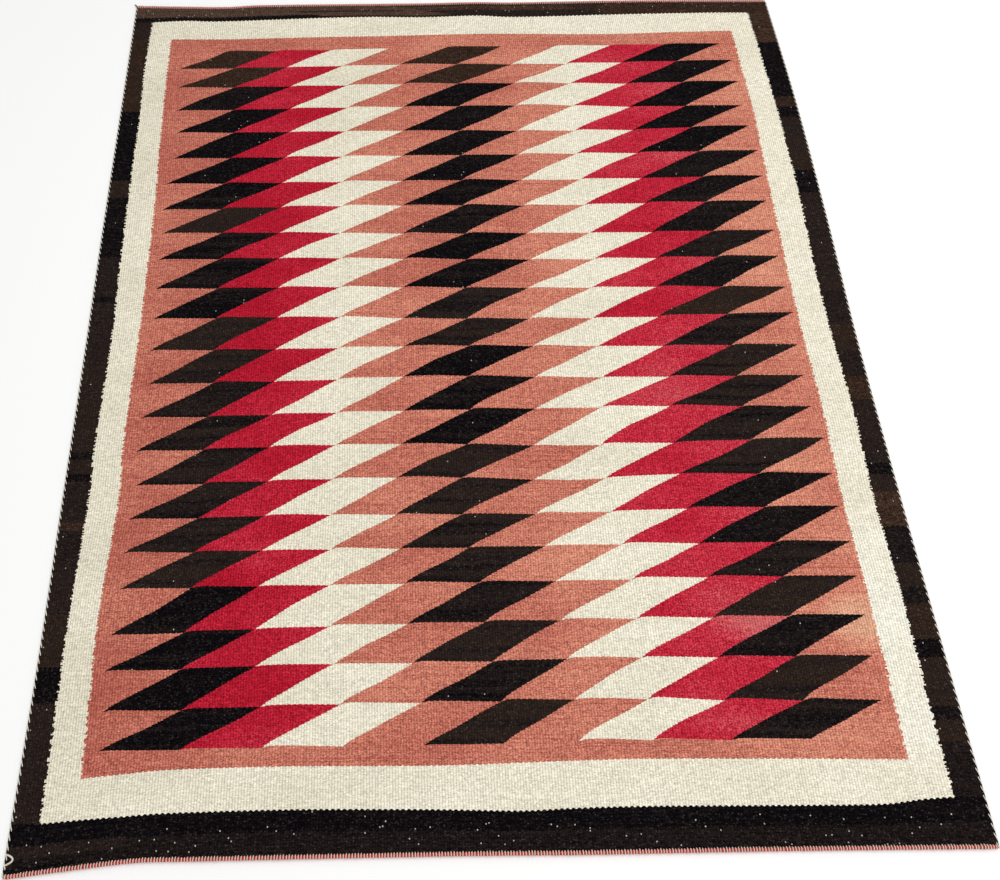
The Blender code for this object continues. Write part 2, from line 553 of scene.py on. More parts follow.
class Strands:
    """Gathers tubes of yarn into one mesh, with each point's place in its strand as an attribute:
    the length along it in mm, and the cosine and sine of the place around it."""

    def __init__(self, sides=8):
        self.sides = sides
        self.places, self.faces, self.materials, self.strand = [], [], [], []

    def add(self, centres, radii, material=0):
        """A closed tube along the centres, with a radius at each, in the given material slot."""
        first = len(self.places)
        count = len(centres)
        length = 0.0
        for i, centre in enumerate(centres):
            before, after = centres[max(i - 1, 0)], centres[min(i + 1, count - 1)]
            along = (after - before).normalized()
            out = along.cross(Vector((0.0, 0.0, 1.0)))
            if out.length < UPRIGHT:
                out = along.cross(Vector((1.0, 0.0, 0.0)))
            out.normalize()
            up = out.cross(along)
            if i:
                length += (centre - centres[i - 1]).length
            for k in range(self.sides):
                angle = 2 * math.pi * k / self.sides
                spoke = out * math.cos(angle) + up * math.sin(angle)
                self.places.append(centre + spoke * radii[i])
                self.strand.append((length / MM, math.cos(angle), math.sin(angle)))
        for i in range(count - 1):
            low, high = first + i * self.sides, first + (i + 1) * self.sides
            for k in range(self.sides):
                following = (k + 1) % self.sides
                self.faces.append((low + k, low + following, high + following, high + k))
        last = first + (count - 1) * self.sides
        self.faces.append(tuple(first + k for k in reversed(range(self.sides))))
        self.faces.append(tuple(last + k for k in range(self.sides)))
        self.materials += [material] * (len(self.faces) - len(self.materials))

    def finish(self, name, materials):
        mesh = bpy.data.meshes.new(name)
        mesh.from_pydata(self.places, [], self.faces)
        for material in materials:
            mesh.materials.append(material)
        mesh.polygons.foreach_set("material_index", self.materials)
        set_attribute(mesh, "strand", self.strand)
        obj = bpy.data.objects.new(name, mesh)
        bpy.context.scene.collection.objects.link(obj)
        make_active(obj)
        bpy.ops.object.mode_set(mode="EDIT")
        bpy.ops.mesh.select_all(action="SELECT")
        bpy.ops.mesh.normals_make_consistent(inside=False)
        bpy.ops.object.mode_set(mode="OBJECT")
        bpy.ops.object.shade_smooth()
        return obj


def wound(line, turn, phase, orbit, squash=1.0):
    """The centres of a strand that winds around a level line: one full turn in each turn length."""
    centres = []
    length = 0.0
    for i, place in enumerate(line):
        after, before = line[min(i + 1, len(line) - 1)], line[max(i - 1, 0)]
        along = (after - before).normalized()
        out = Vector((along.y, -along.x, 0.0))
        if i:
            length += (place - line[i - 1]).length
        angle = 2 * math.pi * (length / turn + phase)
        centres.append(place + out * (orbit * math.cos(angle))
                       + Vector((0.0, 0.0, orbit * squash * math.sin(angle))))
    return centres


def evenly(start, stop, spacing):
    count = max(int(round(abs(stop - start) / spacing)), 2)
    return [start + (stop - start) * k / count for k in range(count + 1)]


def tapered(count, radius, end_share=0.6):
    """Radii of a strand that ends a little thinner."""
    return [radius * (end_share if k in (0, count - 1) else 1.0) for k in range(count)]


# The end cords: how far they stop short of the sides (metres), how many points their line has in each
# loop's width, and where in a turn their two strands start.
END_CORD_SIDE_INSET = 0.003
POINTS_PER_LOOP = 5
END_CORD_PHASES = (0.0, 0.5)
# The warp loops over the end cords. How much farther than the cord they reach, and how far they lean, is
# by chance between these values (mm). They follow this part of a half circle, a little flattened.
LOOP_REACH = (-0.3, 0.8)
LOOP_LEAN = (-0.5, 0.5)
LOOP_START, LOOP_SWEEP = -0.05, 1.1
LOOP_FLATTENING = 0.95
LOOP_STEPS = 6


def warp_loop(end, x, radius, reach, lean):
    """The centres of the loop that one warp makes over the end cord."""
    outward = -1.0 if end == NEAR else 1.0
    centres = []
    for k in range(LOOP_STEPS + 1):
        angle = math.pi * (LOOP_START + LOOP_SWEEP * k / LOOP_STEPS)
        y = end_y(end, x, radius) - outward * reach * math.cos(angle)
        height = radius + reach * math.sin(angle) * LOOP_FLATTENING
        centres.append(Vector((x + lean * k / LOOP_STEPS, y, height)))
    return centres


def twine_end_cord(end, name, sizes, materials):
    """Two red strands twined along one end, around a white warp loop at every rib."""
    radius = sizes.end_strand + sizes.end_orbit
    x_left = corner(LEFT, end, END_CORD_SIDE_INSET, radius)[0]
    x_right = corner(RIGHT, end, END_CORD_SIDE_INSET, radius)[0]
    line = [Vector((x, end_y(end, x, radius), radius))
            for x in evenly(x_left, x_right, sizes.loop_spacing / POINTS_PER_LOOP)]
    strands = Strands()
    for phase in END_CORD_PHASES:
        centres = wound(line, 2 * sizes.loop_spacing, phase, sizes.end_orbit)
        strands.add(centres, tapered(len(centres), sizes.end_strand))
    dice = random.Random(SEED + end)
    first, last = x_left + sizes.loop_spacing / 2, x_right - sizes.loop_spacing / 2
    for x in evenly(first, last, sizes.loop_spacing):
        reach = radius + dice.uniform(*LOOP_REACH) * MM
        lean = dice.uniform(*LOOP_LEAN) * MM
        loop = warp_loop(end, x, radius, reach, lean)
        strands.add(loop, tapered(len(loop), sizes.warp_radius), 1)
    return strands.finish(name, materials)


# The side cords: how far their line lies inside the rug's outer line, besides their orbit, how far they
# stop short of the ends and how far apart their points are (metres), where in a turn their two strands
# start, and how flat they wind.
SIDE_LINE_INSET = 0.0004
SIDE_CORD_END_INSET = 0.0006
SIDE_POINT_SPACING = 0.0018
SIDE_CORD_PHASES = (0.1, 0.6)
SIDE_CORD_FLATTENING = 0.71


def wind_side_cord(side, name, sizes, materials):
    """Two undyed strands that wind around the outermost rib of one side."""
    inset = sizes.side_orbit + SIDE_LINE_INSET
    y_near = corner(side, NEAR, inset, SIDE_CORD_END_INSET)[1]
    y_far = corner(side, FAR, inset, SIDE_CORD_END_INSET)[1]
    line = [Vector((side_x(side, y, inset), y, sizes.thickness / 2))
            for y in evenly(y_near, y_far, SIDE_POINT_SPACING)]
    strands = Strands()
    for phase in SIDE_CORD_PHASES:
        centres = wound(line, sizes.side_turn, phase, sizes.side_orbit, SIDE_CORD_FLATTENING)
        strands.add(centres, tapered(len(centres), sizes.side_strand))
    if side == LEFT:
        strands.add(*near_left_loop(sizes))
    return strands.finish(name, materials)


# The slack loop at the near left corner (metres): where along the side it starts and how far on it ends,
# how far it reaches over the face, and how high its ends lie and how far above them its middle. A lower
# fullness makes its bow rounder. It is thicker than the side strands.
SLACK_START, SLACK_LENGTH = -0.755, 0.013
SLACK_REACH = 0.0105
SLACK_FOOT, SLACK_RISE = 0.0016, 0.0031
SLACK_FULLNESS = 0.8
SLACK_THICKNESS = 1.5
SLACK_STEPS = 14


def near_left_loop(sizes):
    """The slack loop of undyed strand that lies over the face at the near left corner."""
    centres = []
    for k in range(SLACK_STEPS + 1):
        t = k / SLACK_STEPS
        bow = math.sin(math.pi * t) ** SLACK_FULLNESS
        y = SLACK_START + SLACK_LENGTH * t
        x = side_x(LEFT, y, WEB_SIDE_INSET) + SLACK_REACH * bow
        centres.append(Vector((x, y, SLACK_FOOT + SLACK_RISE * bow ** 0.5)))
    return centres, tapered(len(centres), sizes.side_strand * SLACK_THICKNESS)


# The yarn end at the far left corner: its root and how far from it the hairs' tips lie (metres). The tips
# and the hairs' bends vary by chance between these values on each axis (mm). A hair has the tip's radius
# at its tip and the extra besides at its root (metres).
TUFT_ROOT_Y, TUFT_ROOT_INSET = 0.766, 0.004
TUFT_REACH = (-0.0075, 0.0105, 0.0)
TUFT_TIP_RANGES = ((-1, 1), (-1.5, 1), (-0.5, 1.0))
TUFT_BEND_RANGES = ((-1, 1), (-1, 1), (0, 0.8))
HAIR_TIP_RADIUS, HAIR_ROOT_EXTRA = 0.00012, 0.0007
HAIR_COUNT, HAIR_SIDES, HAIR_STEPS = 7, 6, 6


def far_left_tuft(sizes, materials):
    """The dark yarn end that sticks out of the far left corner."""
    strands = Strands(HAIR_SIDES)
    root = Vector((side_x(LEFT, TUFT_ROOT_Y, TUFT_ROOT_INSET), TUFT_ROOT_Y, sizes.thickness / 2))
    dice = random.Random(SEED + 7)
    for _ in range(HAIR_COUNT):
        tip = root + Vector([part + dice.uniform(low, high) * MM
                             for part, (low, high) in zip(TUFT_REACH, TUFT_TIP_RANGES)])
        bend = Vector([dice.uniform(low, high) for low, high in TUFT_BEND_RANGES]) * MM
        centres, radii = [], []
        for k in range(HAIR_STEPS + 1):
            t = k / HAIR_STEPS
            centres.append(root.lerp(tip, t) + bend * math.sin(math.pi * k / HAIR_STEPS))
            radii.append(HAIR_ROOT_EXTRA * (1.0 - k / (HAIR_STEPS + 1)) + HAIR_TIP_RADIUS)
        strands.add(centres, radii)
    return strands.finish("corner_tuft", materials)


class Term:
    """A number or colour in a material's nodes. Sums, products and the like make more nodes."""

    def __init__(self, tree, socket):
        self.tree = tree
        self.socket = socket

    def math(self, operation, *others):
        node = self.tree.nodes.new("ShaderNodeMath")
        node.operation = operation
        for socket, term in zip(node.inputs, (self, *others)):
            feed(self.tree, socket, term)
        return Term(self.tree, node.outputs[0])

    def __add__(self, other):
        return self.math("ADD", other)

    def __sub__(self, other):
        return self.math("SUBTRACT", other)

    def __mul__(self, other):
        return self.math("MULTIPLY", other)

    def __truediv__(self, other):
        return self.math("DIVIDE", other)

    def floor(self):
        return self.math("FLOOR")

    def fraction(self):
        return self.math("FRACT")

    def above(self, limit):
        return self.math("GREATER_THAN", limit)

    def below(self, limit):
        return self.math("LESS_THAN", limit)

    def inside(self, low, high):
        return self.above(low) * self.below(high)

    def clamped(self):
        return self.math("MAXIMUM", 0.0).math("MINIMUM", 1.0)


def feed(tree, socket, term):
    if isinstance(term, Term):
        tree.links.new(term.socket, socket)
    else:
        socket.default_value = term


def attribute_parts(tree, name):
    node = tree.nodes.new("ShaderNodeAttribute")
    node.attribute_name = name
    split = tree.nodes.new("ShaderNodeSeparateXYZ")
    tree.links.new(node.outputs["Vector"], split.inputs[0])
    return [Term(tree, output) for output in split.outputs]


def vector(tree, x, y=0.0, z=0.0):
    node = tree.nodes.new("ShaderNodeCombineXYZ")
    for socket, term in zip(node.inputs, (x, y, z)):
        feed(tree, socket, term)
    return Term(tree, node.outputs[0])


def cloud(tree, place, detail=2.0, roughness=0.5):
    """Soft noise around a half."""
    node = tree.nodes.new("ShaderNodeTexNoise")
    feed(tree, node.inputs["Vector"], place)
    node.inputs["Scale"].default_value = 1.0
    node.inputs["Detail"].default_value = detail
    node.inputs["Roughness"].default_value = roughness
    return Term(tree, node.outputs[0])


def speckle(tree, place):
    """A number from 0 to 1 by chance for each whole place."""
    node = tree.nodes.new("ShaderNodeTexWhiteNoise")
    feed(tree, node.inputs["Vector"], place)
    return Term(tree, node.outputs[0])


def mixed(tree, share, under, over):
    node = tree.nodes.new("ShaderNodeMix")
    node.data_type = "RGBA"
    feed(tree, node.inputs[0], share)
    for socket, colour in ((node.inputs[6], under), (node.inputs[7], over)):
        feed(tree, socket, colour if isinstance(colour, Term) else (*colour, 1.0))
    return Term(tree, node.outputs[2])


def scaled(tree, colour, factor):
    node = tree.nodes.new("ShaderNodeVectorMath")
    node.operation = "SCALE"
    tree.links.new(colour.socket, node.inputs[0])
    feed(tree, node.inputs["Scale"], factor)
    return Term(tree, node.outputs[0])


def steps(tree, place, stops):
    """A grey value that is the same from each stop to the next."""
    node = tree.nodes.new("ShaderNodeValToRGB")
    ramp = node.color_ramp
    ramp.interpolation = "CONSTANT"
    first, second = ramp.elements[0], ramp.elements[1]
    first.position, first.color = 0.0, (*([stops[0][1]] * 3), 1.0)
    second.position, second.color = stops[1][0], (*([stops[1][1]] * 3), 1.0)
    for position, value in stops[2:]:
        stop = ramp.elements.new(position)
        stop.color = (value, value, value, 1.0)
    feed(tree, node.inputs[0], place)
    return Term(tree, node.outputs[0])


def soft_ramp(tree, place, stops):
    """A colour that runs evenly from each stop to the next."""
    node = tree.nodes.new("ShaderNodeValToRGB")
    ramp = node.color_ramp
    ramp.elements[0].position, ramp.elements[0].color = stops[0][0], (*stops[0][1], 1.0)
    ramp.elements[1].position, ramp.elements[1].color = stops[-1][0], (*stops[-1][1], 1.0)
    for position, colour in stops[1:-1]:
        ramp.elements.new(position).color = (*colour, 1.0)
    feed(tree, node.inputs[0], place)
    return Term(tree, node.outputs[0])


def put_one(share, other):
    """One, with another number where the share is 1."""
    return share * (other - 1.0) + 1.0


def put(value, share, other):
    """The value, with another one where the share is 1."""
    if isinstance(other, Term):
        return value + (other - value) * share
    return value + (value * -1.0 + other) * share


def wool_material(name):
    material = bpy.data.materials.new(name)
    material.use_nodes = True
    tree = material.node_tree
    shader = tree.nodes["Principled BSDF"]
    shader.inputs["Roughness"].default_value = 0.92
    shader.inputs["Specular IOR Level"].default_value = 0.02
    shader.inputs["Sheen Weight"].default_value = 0.003
    shader.inputs["Sheen Roughness"].default_value = 0.6
    return material, tree, shader


def raise_surface(tree, shader, height, strength, distance):
    node = tree.nodes.new("ShaderNodeBump")
    node.inputs["Strength"].default_value = strength
    node.inputs["Distance"].default_value = distance
    tree.links.new(height.socket, node.inputs["Height"])
    tree.links.new(node.outputs["Normal"], shader.inputs["Normal"])


def arrange(tree, in_column=12, width=220, drop=180):
    """Sets the nodes out in columns, in the order in which they were made."""
    for k, node in enumerate(tree.nodes):
        node.location = (width * (k // in_column), -drop * (k % in_column))


def side_lots(tree, level, lots):
    """The shade of the dark wool down one side."""
    place = (level * -1.0 + BORDER_STOP) / (BORDER_STOP - BORDER_START)
    stops = [((BORDER_STOP - y) / (BORDER_STOP - BORDER_START), shade) for y, shade in lots]
    return steps(tree, place, stops)


class WeavePlace:
    """Where a point of the web lies in the weave and in the pattern, as terms of its wool's nodes."""

    def __init__(self, tree):
        self.tree = tree
        self.u, self.v, _ = attribute_parts(tree, "weave")
        node, row, _ = attribute_parts(tree, "chart")
        self.rib = self.u.floor()
        self.across = self.u - self.rib
        self.picks = self.v / PICK_HEIGHT + self.rib * 0.5
        wave = (self.u * math.pi).math("SINE")
        self.v_edge = self.v + wave * SCALLOP
        v_ground = self.v + wave * GROUND_SCALLOP
        self.row = row - wave * (ROW_SCALLOP / MEAN_ROW_HEIGHT)
        tooth = speckle(tree, vector(tree, (self.v / TOOTH_LENGTH).floor(), 3.0)) - 0.5
        self.u_edge = self.u + tooth * TOOTH_DEPTH
        stepped = node - (self.across - 0.5) * (STEP_SHARE * RIB_WIDTH / NODE_SPACING)
        self.column = (stepped + self.row.fraction() - 1.0).floor()
        self.in_ivory = (self.u_edge.inside(LINE_RIBS[1], LINE_RIBS[4])
                         * self.v_edge.inside(IVORY_NEAR_LEVEL, IVORY_FAR_LEVEL))
        self.in_ground = (self.u_edge.inside(LINE_RIBS[2], LINE_RIBS[3])
                          * v_ground.inside(GROUND_NEAR_LEVEL, GROUND_FAR_LEVEL))
        self.bead = speckle(tree, vector(tree, self.rib, self.picks.floor()))
        self.fleck = speckle(tree, vector(tree, (self.u * 2.0).floor(), self.speck_row(FLECK_HEIGHT), 2.0))
        # Paler towards the right: partly real fading, partly painted light and sheen.
        self.fade = self.u * (FADE_AND_PAINTED_LIGHT / RIB_COUNT) - FADE_AND_PAINTED_LIGHT / 2

    def speck_row(self, height):
        """Which speck of this height along the warps the point is in, staggered from rib to rib."""
        return (self.v / height + self.rib * STAGGER).floor()

    def is_figure(self, from_middle):
        """1 in the figures that lie so many columns from the middle one, 0 elsewhere."""
        distance = (self.column - MIDDLE_COLUMN).math("ABSOLUTE")
        return distance.math("COMPARE", from_middle, 0.5) * self.row.inside(0.0, ROW_COUNT)

    def cloud(self, per_rib, per_mm, variant, detail, roughness):
        """Soft noise around a half, with its own fineness across and along the warps."""
        place = vector(self.tree, self.u * per_rib, self.v * per_mm, variant)
        return cloud(self.tree, place, detail, roughness)


def end_band_shade(place, shade):
    """The shade of the dark wool, with that of the end borders' bands where they lie."""
    ragged = cloud(place.tree, vector(place.tree, place.v * 0.35, 0.0, 1.0)) * BAND_RAGGEDNESS
    lean = (place.v - FAR_BAND_LEVEL) * place.v.above(0.0) * FAR_BAND_LEAN
    u_ends = place.u + (ragged - BAND_RAGGEDNESS / 2) + lean
    for first_rib, last_rib, near, far, lot in END_BORDER_LOTS:
        if near > 0:
            in_border = place.v_edge.above(IVORY_FAR_LEVEL)
        else:
            in_border = place.v_edge.below(IVORY_NEAR_LEVEL)
        share = u_ends.inside(first_rib, last_rib) * place.v_edge.inside(near, far) * in_border
        shade = put(shade, share, lot)
    return shade


def dark_shade(place):
    """The shade of the dark wool, from 0 for blue-black to 1 for taupe."""
    tree, row, column, v_edge = place.tree, place.row, place.column, place.v_edge
    lots = cloud(tree, vector(tree, place.u * 0.006, v_edge * 0.085, column * 3.7), 2.5, 0.6)
    bobbin = speckle(tree, vector(tree, column, row.floor(), 8.0))
    shade = ((lots - 0.5) * 2.6 + bobbin * 1.1 - 0.15).clamped() * BROWNEST_LOT
    shade = shade * put_one(row.below(BLACK_ROWS), BLACK_ROWS_SHARE)
    shade = shade + column.above(LAST_COLUMN - 0.5) * row.above(BROWNER_FROM_ROW) * BROWNER_BY
    first_rows = row.below(BROWN_ROWS) * column.below(LAST_COLUMN - 2.0)
    shade = put(shade, first_rows, BROWN_ROWS_SHADE)
    shade = put(shade, place.u_edge.below(LINE_RIBS[1]), side_lots(tree, v_edge, LEFT_SIDE_LOTS))
    shade = put(shade, place.u_edge.above(LINE_RIBS[4]), side_lots(tree, v_edge, RIGHT_SIDE_LOTS))
    shade = end_band_shade(place, shade)
    streak = place.cloud(per_rib=0.02, per_mm=0.42, variant=4.0, detail=3.0, roughness=0.65)
    return (shade + (streak - 0.5) * 0.5 + (place.bead - 0.5) * 0.22).clamped()


def soft_spot(place, spot):
    """1 in the middle of a spot of the web, less towards its rim, and 0 outside it."""
    rib, level, reach_across, reach_along = spot
    across = (place.u - rib) / reach_across
    along = (place.v - level) / reach_along
    return ((across * across + along * along) * -1.0 + 1.0).clamped()


def ground_colour(place, streak, patch, colours):
    """The salmon wool, with its streaks, thin deeper picks and one faded spot."""
    thin = place.cloud(per_rib=0.012, per_mm=0.75, variant=3.0, detail=2.0, roughness=0.6)
    thin = ((thin - 0.54) * 7.0).clamped() * -0.22
    spot = soft_spot(place, FADED_GROUND)
    tone = streak * 0.4 + patch * 0.4 + spot * 0.35 + place.fade + thin + place.fleck * 0.24
    return soft_ramp(place.tree, tone, (
        (0.34, colours.salmon_deep), (0.50, colours.salmon), (0.64, colours.salmon_pale),
        (0.90, colours.salmon_faded)))


def ivory_colour(place, streak, patch, colours):
    """The undyed wool, whiter in the near part of the right border."""
    near_part = (((place.v * -1.0 + WHITE_FROM) / WHITE_FROM_SOFTNESS).clamped()
                 * ((place.v - WHITE_TO) / WHITE_TO_SOFTNESS).clamped())
    white = place.u_edge.above(LINE_RIBS[3]) * near_part
    tone = streak * 0.4 + patch * 0.4 + place.fade * 0.5 + white * 0.16 + 0.09
    return soft_ramp(place.tree, tone, (
        (0.36, colours.ivory_shade), (0.54, colours.ivory), (0.72, colours.ivory_white)))


def red_colour(place, streak, patch, colours):
    """The red wool, with its streaks and one spot where its dye has bled."""
    spot = soft_spot(place, BLED_RED)
    tone = streak * 0.3 + patch * 0.55 + spot * 0.25 + place.fade * 1.4 + place.fleck * 0.30 - 0.07
    return soft_ramp(place.tree, tone, (
        (0.36, colours.red_deep), (0.50, colours.red), (0.63, colours.red_pale),
        (0.88, colours.red_faded)))


def dark_colour(place, colours):
    """The dark wool, with a few grey flecks."""
    dark = soft_ramp(place.tree, dark_shade(place), (
        (0.0, colours.black), (0.42, colours.brown_black), (0.66, colours.dark_brown),
        (0.80, colours.brown), (1.0, colours.taupe)))
    return mixed(place.tree, place.fleck.math("POWER", 24.0) * 0.045, dark, colours.warp)


def specks(place, on_dark):
    """1 where the white warp shows through the dark wool, in the middle of a rib, and 0 elsewhere."""
    luck = speckle(place.tree, vector(place.tree, place.rib, place.speck_row(SPECK_HEIGHT), 5.0))
    crowd = (place.v.below(NEAR_SPECK_LEVEL) * NEAR_SPECK_SHARE
             + place.v.above(FAR_SPECK_LEVEL) * FAR_SPECK_SHARE + SPECK_SHARE)
    return (luck * -1.0 + 1.0).below(crowd) * on_dark * place.across.inside(0.30, 0.70)


def groove_shade_and_tone(place, crown, in_white):
    """How bright the wool is painted: darker between the ribs, which is painted shade in the grooves, and
    uneven from pick to pick, all of it a little weaker in white wool.
    """
    grain = place.cloud(per_rib=1.9, per_mm=0.9, variant=6.0, detail=1.0, roughness=0.6)
    # The crown term darkens the grooves between the ribs: painted shade. The beads, flecks and grain are
    # the wool's own uneven tone.
    depth = (crown.math("POWER", 0.7) * 0.54 + place.bead * 0.34 + place.fleck * 0.36
             + (grain - 0.5) * 0.5 - 0.735)
    return depth * put_one(in_white, 0.80) + 0.90


def patterned_wool(colours):
    """The web's wool: borders, figures and dye lots, laid out in ribs and picks."""
    material, tree, shader = wool_material("patterned_wool")
    place = WeavePlace(tree)
    streak = place.cloud(per_rib=0.03, per_mm=0.5, variant=0.0, detail=3.0, roughness=0.62)
    patch = place.cloud(per_rib=0.022, per_mm=0.012, variant=9.0, detail=2.0, roughness=0.5)
    ivory = ivory_colour(place, streak, patch, colours)
    dark = dark_colour(place, colours)
    is_dark = place.is_figure(0.0) + place.is_figure(4.0)
    is_ivory = place.is_figure(2.0)
    colour = mixed(tree, is_ivory, ground_colour(place, streak, patch, colours), ivory)
    colour = mixed(tree, place.is_figure(3.0), colour, red_colour(place, streak, patch, colours))
    colour = mixed(tree, is_dark, colour, dark)
    colour = mixed(tree, place.in_ground, ivory, colour)
    colour = mixed(tree, place.in_ivory, dark, colour)
    on_dark = (is_dark * place.in_ground + (place.in_ivory * -1.0 + 1.0)).clamped()
    colour = mixed(tree, specks(place, on_dark) * SPECK_STRENGTH, colour, colours.warp)

    crown = (place.across * math.pi).math("SINE")
    in_white = (is_ivory * place.in_ground + place.in_ivory - place.in_ground).clamped()
    # The wool is darkened between its ribs here: painted shade in the grooves, besides its uneven tone.
    colour = scaled(tree, colour, groove_shade_and_tone(place, crown, in_white))
    tree.links.new(colour.socket, shader.inputs["Base Color"])
    bulge = (place.picks * math.pi).math("SINE").math("ABSOLUTE")
    fibre = place.cloud(per_rib=2.6, per_mm=3.0, variant=2.0, detail=2.0, roughness=0.6)
    raise_surface(tree, shader, crown * bulge + fibre * 0.5, 0.6, 0.0004)
    arrange(tree)
    return material


def plied_wool(name, colour, shade, ply_length):
    """The wool of a strand, with painted shade between its slanting plies and a little unevenness along
    it.
    """
    material, tree, shader = wool_material(name)
    along, cosine, sine = attribute_parts(tree, "strand")
    turn = along * (2 * math.pi / ply_length)
    ply = turn.math("SINE") * cosine + turn.math("COSINE") * sine
    place = vector(tree, along * 0.09, cosine * 0.4, sine * 0.4)
    uneven = cloud(tree, place, 3.0, 0.6)
    # The shade colour falls where the plies meet, as painted shade in the grooves, and at random where the
    # wool is uneven.
    share = ((ply * 0.5 + 0.5) * 0.45 + uneven * 0.9 - 0.2).clamped()
    tree.links.new(mixed(tree, share, shade, colour).socket, shader.inputs["Base Color"])
    raise_surface(tree, shader, ply * 0.5 + uneven, 0.5, 0.0003)
    arrange(tree)
    return material


def floor_paint(colour):
    material = bpy.data.materials.new("pale_floor")
    material.use_nodes = True
    tree = material.node_tree
    shader = tree.nodes["Principled BSDF"]
    shader.inputs["Roughness"].default_value = 0.9
    shader.inputs["Specular IOR Level"].default_value = 0.1
    place = tree.nodes.new("ShaderNodeTexCoord")
    tone = cloud(tree, Term(tree, place.outputs["Object"]), 4.0, 0.5)
    dim = tuple(part * 0.985 for part in colour)
    tree.links.new(mixed(tree, tone, dim, tuple(colour)).socket, shader.inputs["Base Color"])
    arrange(tree)
    return material


def colour_property(name, description, default):
    return bpy.props.FloatVectorProperty(
        name=name, description=description, default=default, subtype="COLOR", size=3, min=0.0, max=1.0)


def length_property(name, description, default):
    return bpy.props.FloatProperty(
        name=name, description=description, default=default, subtype="DISTANCE", unit="LENGTH", min=0.0,
        precision=5)


class RugSizes(bpy.types.PropertyGroup):
    """Sizes of the web and of the strands along its edges."""

    thickness: length_property("Web thickness", "Thickness of the web over its ribs", 0.0035)
    rib_relief: length_property(
        "Rib relief", "Depth of the groove between two ribs on each face", 0.00055)
    end_strand: length_property("End strand", "Radius of each red strand", 0.0014)
    end_orbit: length_property("End orbit", "How far each red strand lies from their common line", 0.0012)
    loop_spacing: length_property("Warp loops", "Distance from one warp loop to the next", 0.00365)
    warp_radius: length_property("Warp", "Radius of the warp where its loop shows", 0.00062)
    side_strand: length_property("Side strand", "Radius of each undyed strand", 0.00075)
    side_orbit: length_property(
        "Side orbit", "How far each undyed strand lies from the rib's line", 0.0014)
    side_turn: length_property("Side turn", "Length in which the undyed strands make one turn", 0.022)


class RugColours(bpy.types.PropertyGroup):
    """Colours of the wools."""

    black: colour_property("Blue-black", "Darkest lot of the dark wool", (0.0030, 0.0023, 0.0036))
    brown_black: colour_property("Brown-black", "Common lot of the dark wool", (0.0220, 0.0142, 0.0124))
    dark_brown: colour_property(
        "Dark brown", "Dark brown lot of the dark wool", (0.0270, 0.0150, 0.0095))
    brown: colour_property("Brown", "Brown lot of the dark wool", (0.050, 0.0250, 0.0165))
    taupe: colour_property("Taupe", "Palest lot of the dark wool", (0.086, 0.051, 0.035))
    ivory: colour_property("Ivory", "Undyed wool", (0.89, 0.837, 0.675))
    ivory_shade: colour_property(
        "Dull ivory", "Undyed wool in its duller streaks", (0.80, 0.745, 0.585))
    ivory_white: colour_property("White", "Undyed wool in its whitest streaks", (0.93, 0.89, 0.76))
    salmon: colour_property("Salmon", "Wool of the ground", (0.590, 0.187, 0.132))
    salmon_deep: colour_property(
        "Deep salmon", "Wool of the ground in its deeper streaks", (0.45, 0.112, 0.080))
    salmon_pale: colour_property(
        "Pale salmon", "Wool of the ground in its paler streaks", (0.70, 0.270, 0.178))
    salmon_faded: colour_property(
        "Faded salmon", "Wool of the ground where its dye has faded", (0.75, 0.39, 0.25))
    red: colour_property("Red", "Red wool", (0.52, 0.0165, 0.0390))
    red_deep: colour_property("Deep red", "Red wool in its deeper streaks", (0.42, 0.0080, 0.0235))
    red_pale: colour_property("Pale red", "Red wool in its paler streaks", (0.59, 0.031, 0.059))
    red_faded: colour_property("Faded red", "Red wool where its dye has faded", (0.62, 0.14, 0.14))
    warp: colour_property("Warp", "Undyed warp", (0.80, 0.76, 0.64))
    cord_red: colour_property("Cord red", "Red wool of the end cords", (0.62, 0.075, 0.068))
    # The cord shade is painted shade, laid between the plies of the red strands.
    cord_red_groove_shade: colour_property("Cord shade", "Red wool between its plies", (0.38, 0.026, 0.026))
    cord_white: colour_property("Cord white", "Undyed wool of the side cords", (0.84, 0.80, 0.70))
    # The cord grey is painted shade, laid between the plies of the undyed strands and of the warp loops.
    cord_white_groove_shade: colour_property("Cord grey", "Undyed wool between its plies", (0.58, 0.54, 0.45))


class StageSettings(bpy.types.PropertyGroup):
    """The floor and the light."""

    floor: colour_property("Floor", "Colour of the floor", (0.97, 0.97, 0.965))
    ambient: bpy.props.FloatProperty(name="Ambient", description="Strength of the light from all around",
                                     default=0.74, min=0.0)
    key_power: bpy.props.FloatProperty(name="Key light", description="Power of the large light above",
                                       default=34.0, min=0.0, unit="POWER")


class RUG_OT_web(bpy.types.Operator):
    """Weave the patterned web in the place of its solid"""

    bl_idname = "rug.web"
    bl_label = "Weave Web"

    def execute(self, context):
        obj = weave_web(context.scene.rug_sizes)
        obj.data.materials.append(patterned_wool(context.scene.rug_colours))
        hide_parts("rug_web")
        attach(obj, "root")
        return {"FINISHED"}


class RUG_OT_end_cords(bpy.types.Operator):
    """Twine the red strands along both ends, around the warp loops"""

    bl_idname = "rug.end_cords"
    bl_label = "Twine End Cords"

    def execute(self, context):
        sizes, colours = context.scene.rug_sizes, context.scene.rug_colours
        red = plied_wool("red_cord_wool", colours.cord_red, colours.cord_red_groove_shade, ply_length=4.2)
        # The warp's grey between its plies is painted shade.
        warp = plied_wool("warp_wool", colours.warp, colours.cord_white_groove_shade, ply_length=3.0)
        for end, name, node in ((NEAR, "twined_near_end", "end_cord_near"),
                                (FAR, "twined_far_end", "end_cord_far")):
            obj = twine_end_cord(end, name, sizes, (red, warp))
            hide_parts(node)
            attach(obj, "root")
        return {"FINISHED"}


